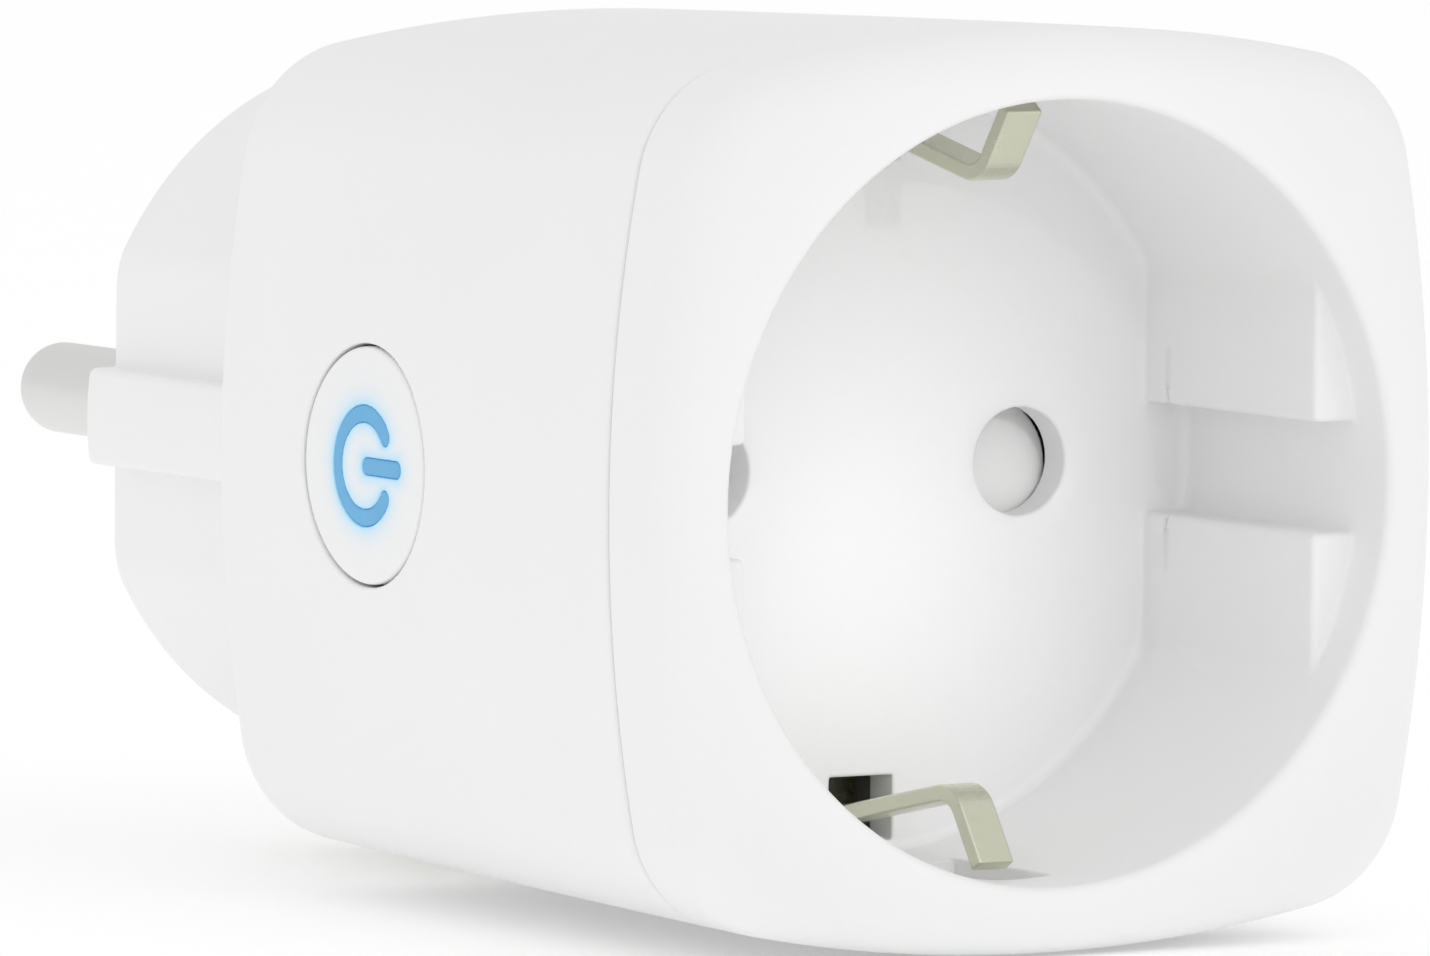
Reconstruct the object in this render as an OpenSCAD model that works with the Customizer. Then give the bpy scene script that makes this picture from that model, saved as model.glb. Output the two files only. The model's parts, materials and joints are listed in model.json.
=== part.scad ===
// Smart plug: a type E/F plug on the back, a recessed type F socket on the front,
// a lit push button on one side, and a relay, a supply and a radio module inside.
// Origin: centre of the plug's end face, midway between the two pins.
// +Y points into the wall along the pins, +Z is up, the button is on the -X side.
// "s" in names and comments is the distance behind the front face.

/* [Body] */
// Width and height of the body just behind the front edge
body_w = 46.2; // [45.6:0.1:47]
// Length of the body from the front face to the rear shoulder
body_len = 47; // [47:0.5:50]
// Radius of the bulge of each side
side_r = 85; // [80:5:120]
// Radius of the four long corners
corner_r = 6.5; // [5:0.5:7.5]
// How much narrower each side gets towards the rear
taper = 1.35; // [1.1:0.05:1.4]
// Wall thickness of the shells
wall = 1.8; // [1.6:0.1:1.8]
// Edge radius round the front face
front_round = 2.5; // [1.5:0.1:2.6]
// Edge radius round the rear shoulder
rear_round = 3; // [2:0.1:3.2]
// Distance of the joint line behind the front face
seam_s = 6; // [5:0.1:6]

/* [Socket] */
// Diameter of the recess
recess_d = 39.1; // [38.8:0.1:39.2]
// Depth of the recess
recess_depth = 18.2; // [17.5:0.1:18.4]
// Thickness of the recess floor
floor_t = 2.2; // [2:0.1:2.3]
// Distance between the two pin centres
pin_pitch = 19; // [19:1:19]
// Diameter of the two pin holes
hole_d = 5.5; // [5.2:0.1:5.6]
// Distance of the guide blocks' inner faces from the centre
rib_x = 16.9; // [16.8:0.1:17.2]
// Width of the channel between two guide blocks
channel_w = 5.6; // [5.4:0.1:5.8]

/* [Plug] */
// Diameter of the round plug body
plug_d = 37; // [36.5:0.1:37]
// Length of the plug body
plug_len = 17.5; // [17.5:0.5:18]
// Distance of the side flats from the centre
flat_x = 16.6; // [16.3:0.1:16.7]
// Width of the ridge on each flat
ridge_w = 5; // [4.8:0.1:5.2]
// Diameter of the two pins
pin_d = 4.8; // [4.8:0.1:4.8]
// Length of the two pins outside the plug body
pin_len = 19; // [19:1:19]

/* [Button] */
// Diameter of the button cap
button_d = 12; // [11.5:0.1:12.2]
// Distance of the button centre behind the front face
button_s = 30.15; // [29.2:0.05:30.5]
// Gap round the button cap
button_gap = 0.15; // [0.12:0.01:0.2]

/* [Earth clips] */
// Width of a clip
clip_w = 2.1; // [2:0.1:2.4]
// Thickness of the clip's strip
clip_t = 0.85; // [0.8:0.05:0.9]
// Distance of each clip from the middle, sideways
clip_x = 0.6; // [0:0.1:0.6]

/* [Hidden] */
$fn = 96;

total_s = body_len + plug_len;          // front face to plug end face
pin_x = pin_pitch / 2;
plug_r = plug_d / 2;
recess_r = recess_d / 2;
cup_r = recess_r + 1.1;                 // outside of the recess cup
floor_back = recess_depth + floor_t;    // s of the rear of the recess floor
sink = 0.25;                            // depth of the funnel round each pin hole
funnel_r = 3.4;                         // radius of the funnel's mouth
lip_t = 1;                              // lip of the front cover inside the housing
lip_len = 3;
rear_wall_s = body_len - wall;          // front of the housing's rear wall
rear_hole_r = 16;                       // opening in the rear wall
end_wall = 3;                           // thickness of the plug body's end wall
cavity_r = 16.2;                        // inside of the plug body
cavity_x = 14.9;
cavity_z = 13.8;
earth_z = 16.4;                         // outer surface of the rear earth strips
earth_w = 8;                            // width of the rear earth strips
strip_t = 0.8;                          // thickness of the stamped strips
french_z = 10;                          // height of the earth pin hole
french_r = 2.45;
collar_r = 2.9;                          // pin's collar inside the end wall
collar_sink = 0.1;                       // depth of the collar below the end face
clip_pivot = [21.4, 17.6];              // s and height of a clip's flexing root
clip_wall = [18.2, 17.5];               // where its middle line passes the recess floor
clip_corner = [7.6, 15.3];              // where the two legs' middle lines would meet
clip_bend_r = 1.75;                     // radius of the bend between them
clip_tip = [5.15, 18.94];
relief_z = 20.3;                        // depth of the relief behind a clip's tip
shutter_s = 20.6;                       // front of the shutter plate
shutter_t = 1.4;
hub_r = 3;
pivot_r = 1.45;
carrier_s = 23.8;                       // front of the contact carrier
carrier_t = 1.2;
pocket_end = 38.6;                      // rear of the contact pockets
board_s = 41;                           // front of the power board
board_t = 1.6;
control_x = -16.2;                      // outer face of the control board
control_t = 1.2;
control_s = 25.4;                       // front edge of the control board
button_x = -(body_w / 2 - taper * pow(button_s / body_len, 1.2));
cap_skin = 0.75;                        // front skin of the button cap
cap_depth = 2.9;                        // depth of the cap with its flange
flange_t = 0.5;
guide_t = 1.1;                          // thickness of the light guide
guide_z = 4.3;                          // height of the light guide's leg
symbol_r = 3.05;                        // outside of the power symbol's ring
symbol_stroke = 0.85;
symbol_gap = 36;                        // half angle of the ring's gap
screw_posts = [[-12.4, 12.4], [12.4, -12.4]];
base_screw_r = 17.25;                   // radius of the circle of base screws
front_stations = [0, 0.15, 0.5, 1.1, 1.8, front_round];

// Half width of the body at distance s, without its rounded ends
function taper_half(s) = body_w / 2 - taper * pow(s / body_len, 1.2);
// How far a rounded edge of radius r stands back at distance d from the end
function edge(d, r) = d >= r ? 0 : r - sqrt(r * r - (r - d) * (r - d));
function half_at(s) = taper_half(s) - edge(s, front_round) - edge(body_len - s, rear_round);

// Square outline with bulged sides and round corners, for half width h
function outline(h, rc) =
    let (a = side_r - h, b = side_r - rc)
    let (c = (sqrt(2 * b * b - a * a) - a) / 2)
    let (phi = atan2(c, c + a))
    [for (k = [0:3], i = [0:13])
        let (side = i < 8)
        let (t = side ? -phi + 2 * phi * i / 7 : phi + (90 - 2 * phi) * (i - 7) / 7)
        let (x = side ? -a + side_r * cos(t) : c + rc * cos(t))
        let (y = side ? side_r * sin(t) : c + rc * sin(t))
        [x * cos(90 * k) - y * sin(90 * k), x * sin(90 * k) + y * cos(90 * k)]];

module from_front() {
    translate([0, -total_s, 0]) children();
}

// Cylinder of radius r along Y from s0 to s1
module rod(r, s0, s1, x = 0, z = 0) {
    translate([x, s1, z]) rotate([90, 0, 0]) cylinder(r = r, h = s1 - s0);
}

// Ring section turned about the Y axis; points are [radius, s]
module turned(points) {
    rotate([-90, 0, 0]) rotate_extrude() polygon(points);
}

// Box given by its two corners
module block(low, high) {
    translate(low) cube(high - low);
}

// Flat profile in s and z, extruded over the width w about x
module strip(points, w, x = 0) {
    translate([x - w / 2, 0, 0]) rotate([90, 0, 90]) linear_extrude(w) polygon(points);
}

module slice(s, inset) {
    rc = max(corner_r - inset, 2.5);
    translate([0, s, 0]) rotate([90, 0, 0])
        linear_extrude(0.01) polygon(outline(half_at(s) - inset, rc));
}

// Body shape between the given stations, moved inwards by inset
module envelope(stations, inset = 0) {
    hull() for (s = stations) slice(s, inset);
}

module inner_space(s0, s1, inset) {
    hull() {
        slice_at(s0, inset);
        slice_at(s1, inset);
    }
}

// Slice of the tapered shape that leaves out the rounded ends
module slice_at(s, inset) {
    translate([0, s, 0]) rotate([90, 0, 0])
        linear_extrude(0.01) polygon(outline(taper_half(s) - inset, max(corner_r - inset, 2.5)));
}

// ---- shells ----

module recess_cut() {
    turned([[0, -1], [recess_r + 1.4, -1], [recess_r + 0.4, 0], [recess_r, 0.5],
            [recess_r, recess_depth], [0, recess_depth]]);
}

module guide_blocks() {
    intersection() {
        rod(cup_r, 2.8, floor_back);
        for (side = [-1, 1])
            difference() {
                translate([side > 0 ? rib_x : -cup_r, 2.8, -12])
                    cube([cup_r - rib_x, floor_back - 2.8, 24]);
                translate([side > 0 ? rib_x - 1 : -cup_r - 1, 2, -channel_w / 2])
                    cube([cup_r - rib_x + 2, floor_back, channel_w]);
            }
    }
}

module pin_hole(x) {
    translate([x, 0, 0]) turned([[0, recess_depth - 0.01], [funnel_r, recess_depth - 0.01],
        [hole_d / 2, recess_depth + sink], [hole_d / 2, floor_back + 1], [0, floor_back + 1]]);
}

module front_cover() {
    color("white") from_front() difference() {
        union() {
            difference() {
                envelope(concat(front_stations, [seam_s]));
                inner_space(2.2, seam_s + 1, wall);
            }
            difference() {
                inner_space(seam_s - 0.8, seam_s + lip_len, wall + 0.1);
                inner_space(seam_s - 1, seam_s + lip_len + 1, wall + 0.1 + lip_t);
            }
            rod(cup_r, 0.6, floor_back);
            for (z = [-1, 1])
                block([-3.4, 2, min(z * 18, z * 20.85)], [3.4, 13.8, max(z * 18, z * 20.85)]);
            for (p = screw_posts) rod(2, floor_back - 0.1, carrier_s, p[0], p[1]);
            rod(pivot_r, floor_back - 0.1, shutter_s + shutter_t + 0.4);
        }
        difference() {
            recess_cut();
            guide_blocks();
        }
        for (x = [-pin_x, pin_x]) pin_hole(x);
        for (z = [-1, 1]) {
            block([-1.9, recess_depth - 0.5, min(z * 15.6, z * 18.9)],
                  [1.9, floor_back + 0.5, max(z * 15.6, z * 18.9)]);
            block([-2.4, 4.4, min(z * 17, z * relief_z)], [2.4, 13.2, max(z * 17, z * relief_z)]);
        }
        for (p = screw_posts) rod(0.8, floor_back + 0.4, carrier_s + 1, p[0], p[1]);
    }
}

module main_housing() {
    color("white") from_front() difference() {
        envelope([seam_s + 0.15, 12, 20, 28, 36, body_len - rear_round, body_len - 1.6,
                  body_len - 0.7, body_len - 0.2, body_len]);
        inner_space(seam_s, 13, wall);
        inner_space(12.9, rear_wall_s, wall);
        rod(rear_hole_r, rear_wall_s - 1, body_len + 1);
        for (a = [45:90:315])
            rod(0.95, rear_wall_s - 1, body_len + 1, base_screw_r * cos(a), base_screw_r * sin(a));
        translate([button_x - 2, button_s, 0]) rotate([0, 90, 0])
            cylinder(r = button_d / 2 + button_gap, h = 5);
    }
}

module plug_base() {
    color("white") from_front() difference() {
        union() {
            difference() {
                turned([[0, body_len], [plug_r, body_len], [plug_r, total_s - 0.8],
                        [plug_r - 0.25, total_s - 0.25], [plug_r - 0.8, total_s], [0, total_s]]);
                for (side = [-1, 1])
                    difference() {
                        translate([side * (flat_x + 5), body_len + 10, 0]) cube([10, 30, 40], center = true);
                        translate([side * (flat_x + 5), body_len + 10, 0])
                            cube([10.1, 31, ridge_w], center = true);
                    }
            }
            rod(rear_hole_r - 0.05, rear_wall_s, body_len + 0.1);
        }
        intersection() {
            rod(cavity_r, body_len + 1, total_s - end_wall);
            block([-cavity_x, body_len, -cavity_z], [cavity_x, total_s, cavity_z]);
        }
        rod(14.6, rear_wall_s - 1, body_len + 1.1);
        for (z = [-1, 1]) {
            block([-earth_w / 2 - 0.1, body_len - 0.01, min(z * 15.6, z * 19)],
                  [earth_w / 2 + 0.1, total_s - 1.4, max(z * 15.6, z * 19)]);
            block([-earth_w / 2 - 0.1, body_len + 0.6, min(z * 12, z * 16)],
                  [earth_w / 2 + 0.1, body_len + 1.8, max(z * 12, z * 16)]);
        }
        for (x = [-pin_x, pin_x]) rod(collar_r, total_s - end_wall - 1, total_s + 1, x);
        rod(french_r, total_s - end_wall - 1, total_s + 1, 0, french_z);
        for (a = [45:90:315])
            rod(0.8, body_len - 1, body_len + 7, base_screw_r * cos(a), base_screw_r * sin(a));
    }
}

// ---- pins and contacts ----

module plug_pin(x) {
    tip = total_s + pin_len;
    r = pin_d / 2;
    inner = total_s - end_wall;
    arc = [for (a = [0:15:90]) [r - 1.9 + 1.9 * cos(a), tip - 1.9 + 1.9 * sin(a)]];
    translate([x, 0, 0]) turned(concat([[0, inner - 4], [1.5, inner - 4], [1.5, inner - 1],
        [3.6, inner - 1], [3.6, inner], [collar_r, inner], [collar_r, total_s - collar_sink],
        [r, total_s - collar_sink]], arc, [[0, tip]]));
}

module line_pin() {
    color("silver") from_front() plug_pin(-pin_x);
}

module neutral_pin() {
    color("silver") from_front() plug_pin(pin_x);
}

// One bracket: a web inside the housing and an arm along each side of the plug body
module rear_earth_contacts() {
    web_s = rear_wall_s - 1.6;
    arm_z = cavity_z - 0.1;
    jog = body_len + 0.8;
    color("khaki") from_front() union() {
        difference() {
            block([-4, web_s, -arm_z], [4, web_s + strip_t, arm_z]);
            rod(1.2, web_s - 1, web_s + 2);
        }
        for (side = [-1, 1])
            strip([[web_s, side * (arm_z - strip_t)], [web_s, side * arm_z],
                   [jog, side * arm_z], [jog, side * earth_z],
                   [total_s - 1.6, side * earth_z], [total_s - 1.6, side * (earth_z - strip_t)],
                   [jog + strip_t, side * (earth_z - strip_t)],
                   [jog + strip_t, side * (arm_z - strip_t)]], earth_w);
    }
}

module earth_pin_socket() {
    color("khaki") from_front() difference() {
        union() {
            rod(3.1, body_len + 3, total_s - end_wall, 0, french_z);
            block([-1.6, rear_wall_s - 0.8, french_z - 3.1], [1.6, body_len + 5, french_z - french_r]);
        }
        rod(french_r, body_len + 2, total_s - end_wall + 1, 0, french_z);
    }
}

// Half ring behind the recess floor, with a link along the bottom to the rear bracket
module earth_bridge() {
    s0 = 22.6;
    web_s = rear_wall_s - 1.6;
    color("khaki") from_front() union() {
        difference() {
            rod(15.2, s0, s0 + strip_t);
            rod(13.3, s0 - 1, s0 + 2);
            block([-20, s0 - 1, -20], [0, s0 + 2, 20]);
        }
        for (z = [-1, 1])
            block([-2.6, s0, min(z * 13.4, z * 18.4)], [2.6, s0 + strip_t, max(z * 13.4, z * 18.4)]);
        block([-2, s0, -19.4], [2, web_s, -18.6]);
        block([-2, s0, -19.4], [2, s0 + strip_t, -18]);
        block([-2, web_s - strip_t, -19.4], [2, web_s, -10]);
    }
}

function unit(v) = v / norm(v);

// Spring clip in the recess, for the upper side (1) or the lower side (-1): one strip, bent
module earth_clip(side) {
    rear = unit(clip_wall - clip_corner);
    front = unit(clip_tip - clip_corner);
    half = acos(rear * front) / 2;
    centre = clip_corner + unit(rear + front) * clip_bend_r / sin(half);
    ends = [for (leg = [rear, front]) clip_corner + leg * clip_bend_r / tan(half) - centre];
    turn = [for (e = ends) atan2(e[1], e[0])];
    arc = [for (k = [0:8]) turn[0] + (turn[1] - turn[0]) * k / 8];
    path = concat([clip_pivot, clip_wall], [for (t = arc) centre + clip_bend_r * [cos(t), sin(t)]],
                  [clip_tip]);
    out = concat([[0, -1], ends[0] / clip_bend_r], [for (t = arc) [cos(t), sin(t)]],
                 [ends[1] / clip_bend_r]);
    n = len(path) - 1;
    outline = concat([for (i = [0:n]) path[i] + out[i] * clip_t / 2],
                     [for (i = [n:-1:0]) path[i] - out[i] * clip_t / 2]);
    color("khaki") from_front() union() {
        rod_x(clip_t / 2 + 0.25, clip_pivot[0], side * clip_pivot[1], side * clip_x);
        strip([for (p = outline) [p[0], side * p[1]]], clip_w, side * clip_x);
    }
}

// Round bead along X at s and z, as wide as a clip
module rod_x(r, s, z, x) {
    translate([x - clip_w / 2, s, z]) rotate([0, 90, 0]) cylinder(r = r, h = clip_w);
}

module earth_clip_top() {
    earth_clip(1);
}

module earth_clip_bottom() {
    earth_clip(-1);
}

// Sprung fork that grips an inserted pin, with a tail to the power board
module pin_contact(x) {
    web = pocket_end - 1;
    color("goldenrod") from_front() union() {
        for (side = [-1, 1])
            strip([[web, side * 3.9], [web, side * 3.2], [29, side * 3.0], [27, side * 2.5],
                   [25.6, side * 3.3], [25.6, side * 4], [27, side * 3.2], [29, side * 3.7]], 6, x);
        block([x - 3, web - 0.7, -3.9], [x + 3, web, 3.9]);
        block([x - 1, web, -0.35], [x + 1, board_s, 0.35]);
    }
}

module line_contact() {
    pin_contact(-pin_x);
}

module neutral_contact() {
    pin_contact(pin_x);
}

// Strip from a plug pin's tail to the power board
module busbar(x) {
    tail = total_s - end_wall - 3;
    color("goldenrod") from_front() difference() {
        union() {
            block([x - 2.2, tail, -2.2], [x + 2.2, tail + strip_t, 5]);
            block([x - 2.2, board_s + board_t, 4.2], [x + 2.2, tail + strip_t, 5]);
        }
        rod(1.5, tail - 1, tail + 2, x);
    }
}

module line_busbar() {
    busbar(-pin_x);
}

module neutral_busbar() {
    busbar(pin_x);
}

// ---- contact carrier and shutter ----

module contact_carrier() {
    color("ivory") from_front() difference() {
        union() {
            rod(19.3, carrier_s, carrier_s + carrier_t);
            block([-14.4, carrier_s, -5.2], [14.4, pocket_end, 5.2]);
        }
        for (x = [-pin_x, pin_x]) {
            block([x - 3.9, carrier_s + carrier_t, -4.2], [x + 3.9, pocket_end - 1, 4.2]);
            rod(3.2, carrier_s - 1, carrier_s + 2, x);
            block([x - 1.1, pocket_end - 2, -0.5], [x + 1.1, pocket_end + 1, 0.5]);
        }
        rod(1.6, carrier_s - 1, carrier_s + carrier_t + 1);
        block([-4, carrier_s + carrier_t, -6], [4, pocket_end + 1, 6]);
        block([-2.2, carrier_s - 1, -20], [2.2, carrier_s + 2, -18.4]);
        block([-20, carrier_s - 1, -8.5], [-18.3, carrier_s + 2, 8.5]);
        for (p = screw_posts) rod(0.95, carrier_s - 1, carrier_s + 2, p[0], p[1]);
    }
}

// Turning plate whose wings close both pin holes
module shutter() {
    color("whitesmoke") from_front() difference() {
        union() {
            rod(hub_r, shutter_s, shutter_s + shutter_t);
            for (x = [-pin_x, pin_x]) rod(3.1, shutter_s, shutter_s + shutter_t, x);
            block([-pin_x, shutter_s, -1.8], [pin_x, shutter_s + shutter_t, 1.8]);
        }
        rod(pivot_r + 0.05, shutter_s - 1, shutter_s + shutter_t + 1);
    }
}

// Coil round the shutter's pivot, drawn as two closed turns
module shutter_spring() {
    color("silver") from_front() for (k = [0, 1])
        turned([for (a = [0:30:330]) [2.2 + 0.25 * cos(a), 22.75 + 0.5 * k + 0.25 * sin(a)]]);
}

module screw(x, z, head_s, dir, shank) {
    translate([x, head_s, z]) rotate([dir * 90, 0, 0]) difference() {
        union() {
            cylinder(r = 1.6, h = 1.1);
            translate([0, 0, -shank]) cylinder(r = 0.8, h = shank);
        }
        translate([0, 0, 1.5]) cube([2, 0.5, 1.8], center = true);
        translate([0, 0, 1.5]) cube([0.5, 2, 1.8], center = true);
    }
}

module carrier_screws() {
    color("silver") from_front() for (p = screw_posts)
        screw(p[0], p[1], carrier_s + carrier_t, -1, 4.2);
}

module base_screws() {
    color("silver") from_front() for (a = [45:90:315])
        screw(base_screw_r * cos(a), base_screw_r * sin(a), rear_wall_s, 1, 7.5);
}

// ---- electronics ----

module power_board() {
    color("darkgreen") from_front() difference() {
        block([-13.4, board_s, -17.2], [16.9, board_s + board_t, 17.2]);
        block([-2.6, board_s - 1, -19], [2.6, board_s + 3, -16]);
        rod(1.6, board_s - 1, board_s + 3);
    }
}

module relay() {
    color("dimgray") from_front() difference() {
        block([-5.6, 26, 6.4], [13.2, board_s, 17.6]);
        translate([3.8, 25.6, 12]) cube([19.5, 1, 0.4], center = true);
    }
}

module transformer() {
    color("goldenrod") from_front() union() {
        block([1, 29, -17], [13.6, board_s, -15]);
        block([1, 29, -8.4], [13.6, board_s, -6.4]);
        block([5.2, 29.6, -15], [9.4, board_s, -8.4]);
        difference() {
            block([2.6, 31, -15], [12, board_s - 1, -8.4]);
            block([5.2, 30, -16], [9.4, board_s, -8]);
        }
    }
}

module film_capacitor() {
    color("gold") from_front() block([-12, 28, -16.6], [-2.8, board_s, -6.4]);
}

module smoothing_capacitors() {
    color("midnightblue") from_front() for (z = [-9, 9]) difference() {
        rod(2.4, 30, board_s, 16.3, z);
        translate([16.3, 30, z]) cube([3.4, 0.5, 0.35], center = true);
        translate([16.3, 30, z]) cube([0.35, 0.5, 3.4], center = true);
    }
}

module fuse() {
    color("tan") from_front() union() {
        rod(1.9, 30, 39, -8.8, 9.4);
        rod(0.35, 39, board_s, -8.8, 9.4);
    }
}

module varistor() {
    color("royalblue") from_front() union() {
        translate([15.4, 34.4, 0]) rotate([0, 90, 0]) cylinder(r = 4, h = 2.8);
        for (z = [-2.5, 2.5]) rod(0.35, 36, board_s, 16.8, z);
    }
}

module control_board() {
    color("darkgreen") from_front() difference() {
        block([control_x, control_s, -14.4], [control_x + control_t, 40.4, 14.4]);
        for (z = [-13, 13])
            translate([control_x - 1, control_s + 1.6, z]) rotate([0, 90, 0]) cylinder(r = 0.7, h = 4);
    }
}

module radio_module() {
    x = control_x + control_t;
    color("black") from_front() block([x, control_s + 0.8, 5.4], [x + 0.8, 40, 13.6]);
}

module radio_shield() {
    x = control_x + control_t + 0.8;
    color("silver") from_front() block([x, 28.5, 6], [x + 1.6, 39.4, 13]);
}

module regulator() {
    x = control_x + control_t;
    color("black") from_front() union() {
        block([x, 29, -12], [x + 1.5, 33, -8]);
        for (s = [29.4:1:32.4], z = [-12.8, -8])
            block([x, s, z], [x + 0.3, s + 0.4, z + 0.8]);
    }
}

module board_connector() {
    x = control_x + control_t;
    color("black") from_front() block([x, 38.4, -14], [x + 2.4, board_s, -7]);
}

module switch_body() {
    color("dimgray") from_front() difference() {
        block([control_x - 2.5, button_s - 3, -3], [control_x, button_s + 3, 3]);
        translate([control_x - 2.6, button_s, 0]) rotate([0, 90, 0]) cylinder(r = 1.9, h = 1.5);
    }
}

module status_led() {
    color("lightyellow") from_front()
        block([control_x - 1, button_s - 0.9, guide_z - 0.8], [control_x, button_s + 0.9, guide_z + 0.8]);
}

// ---- button ----

module switch_plunger() {
    color("black") from_front() translate([button_x + cap_depth, button_s, 0]) rotate([0, 90, 0])
        cylinder(r = 1.7, h = 1.2);
}

// Ring with a gap and a bar towards the front, in the plane of the button
module symbol_outline() {
    difference() {
        circle(r = symbol_r);
        circle(r = symbol_r - symbol_stroke);
        polygon([[0, 0], [6 * cos(90 - symbol_gap), 6 * sin(90 - symbol_gap)], [0, 8],
                 [-6 * cos(90 - symbol_gap), 6 * sin(90 - symbol_gap)]]);
    }
    for (side = [-1, 1]) rotate(side * symbol_gap)
        translate([0, symbol_r - symbol_stroke / 2]) circle(d = symbol_stroke);
    translate([-symbol_stroke / 2, 0.3]) square([symbol_stroke, 3]);
    for (y = [0.3, 3.3]) translate([0, y]) circle(d = symbol_stroke);
}

// The symbol as a plate from the cap's face inwards, its bar pointing to the front
module symbol_plate(extra = 0) {
    translate([button_x - extra, button_s, 0]) rotate([90, 0, 90]) rotate([0, 0, 90])
        linear_extrude(cap_skin + 2 * extra) symbol_outline();
}

module button_cap() {
    color("white") from_front() difference() {
        translate([button_x, button_s, 0]) rotate([0, 90, 0]) union() {
            cylinder(r = button_d / 2, h = cap_depth);
            translate([0, 0, cap_depth - flange_t]) cylinder(r = button_d / 2 + 0.9, h = flange_t);
        }
        translate([button_x + cap_skin, button_s, 0]) rotate([0, 90, 0])
            cylinder(r = 4.8, h = guide_t + 0.05);
        translate([button_x + 1, button_s, guide_z]) rotate([0, 90, 0]) cylinder(r = 0.95, h = 3);
        symbol_plate(0.02);
    }
}

module light_guide() {
    color("lightcyan") from_front() union() {
        translate([button_x + cap_skin, button_s, 0]) rotate([0, 90, 0]) cylinder(r = 4.8, h = guide_t);
        translate([button_x + cap_skin + 1, button_s, guide_z]) rotate([0, 90, 0])
            cylinder(r = 0.9, h = 2.6);
    }
}

module power_symbol() {
    color("deepskyblue") from_front() symbol_plate();
}

front_cover();
main_housing();
plug_base();
line_pin();
neutral_pin();
rear_earth_contacts();
earth_pin_socket();
earth_bridge();
earth_clip_top();
earth_clip_bottom();
line_contact();
neutral_contact();
contact_carrier();
shutter();
shutter_spring();
carrier_screws();
base_screws();
line_busbar();
neutral_busbar();
power_board();
relay();
transformer();
film_capacitor();
smoothing_capacitors();
fuse();
varistor();
control_board();
radio_module();
radio_shield();
regulator();
board_connector();
switch_body();
switch_plunger();
status_led();
button_cap();
light_guide();
power_symbol();
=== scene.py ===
import json
import math

import bmesh
import bpy
import numpy as np
from mathutils import Matrix, Vector


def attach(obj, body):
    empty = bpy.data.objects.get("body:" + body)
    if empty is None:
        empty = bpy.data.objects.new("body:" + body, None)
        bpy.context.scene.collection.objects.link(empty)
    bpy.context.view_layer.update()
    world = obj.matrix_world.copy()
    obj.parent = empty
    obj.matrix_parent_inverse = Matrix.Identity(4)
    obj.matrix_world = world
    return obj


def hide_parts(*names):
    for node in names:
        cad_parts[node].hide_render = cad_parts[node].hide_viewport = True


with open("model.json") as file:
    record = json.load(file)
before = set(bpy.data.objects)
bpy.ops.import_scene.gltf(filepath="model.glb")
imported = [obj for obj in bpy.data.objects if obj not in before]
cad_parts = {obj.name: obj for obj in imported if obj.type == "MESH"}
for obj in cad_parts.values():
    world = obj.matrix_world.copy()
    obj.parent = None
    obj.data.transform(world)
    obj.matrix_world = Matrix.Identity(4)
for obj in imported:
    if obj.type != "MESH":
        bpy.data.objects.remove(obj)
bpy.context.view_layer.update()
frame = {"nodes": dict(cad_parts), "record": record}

# Lengths are in millimetres until a mesh is made. Shapes are worked out in x, s and z, where s is
# the distance behind the front face; the frame's y is s - TOTAL.
MM = 0.001

# body: width and length, the sides' bulge, corners and taper, and the joint line behind the front
BODY_W, BODY_LEN, PLUG_LEN = 46.2, 47.0, 17.5
TOTAL = BODY_LEN + PLUG_LEN
SIDE_R, CORNER_R, TAPER, TAPER_POWER, WALL = 85.0, 6.5, 1.35, 1.2, 1.8
FRONT_ROUND, REAR_ROUND, SEAM = 2.5, 3.0, 6.0
SEAM_GAP, LIP_LEN, LIP_T, EDGE = 0.15, 3.0, 1.0, 0.3
REAR_HOLE_R, SCREW_REACH, SCREW_CLEAR_R, SCREW_PILOT_R = 16.0, 17.25, 0.95, 0.8

# recess: its floor, cup, guide blocks, pin holes, clip slots, and the posts behind the floor
RECESS_R, RECESS_DEPTH, FLOOR_BACK, CUP_R = 19.55, 18.2, 20.4, 20.65
RIB_X, CHANNEL, RIB_START = 16.9, 2.8, 2.8
PIN_X, HOLE_R, FUNNEL_R, SINK = 9.5, 2.75, 3.4, 0.25
SLOT_X, SLOT_Z = 1.9, (15.6, 18.9)
PAD_X, PAD_S, PAD_Z = 3.4, (2, 13.8), (18, 20.85)
RELIEF_X, RELIEF_S, RELIEF_Z = 2.4, (4.4, 13.2), (17, 20.3)
POSTS, POST_R, POST_END, POST_HOLE_R = ((-12.4, 12.4), (12.4, -12.4)), 2.0, 23.8, 0.8
PIVOT_R, SHUTTER_S, SHUTTER_T = 1.45, 20.6, 1.4
DISC_R, ARM_Z, HUB_R = 3.1, 1.8, 3.0

# plug body: side flats and ridges, cavity, pins with their collars, earth pin hole and strips
PLUG_R, PLUG_ROUND, FLAT_X, FLAT_START, RIDGE = 18.5, 0.8, 16.6, 5.0, 2.5
END_WALL, CAVITY_R, CAVITY_X, CAVITY_Z = 3.0, 16.2, 14.9, 13.8
PIN_R, COLLAR_R, COLLAR_SINK, PIN_TIP, PIN_ROUND = 2.4, 2.9, 0.1, TOTAL + 19.0, 1.9
EARTH_HOLE_R, EARTH_HOLE_Z = 2.45, 10.0
STRIP_T, STRIP_X, STRIP_Z, STRIP_INNER_Z = 0.8, 4.0, 16.4, 13.7

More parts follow.
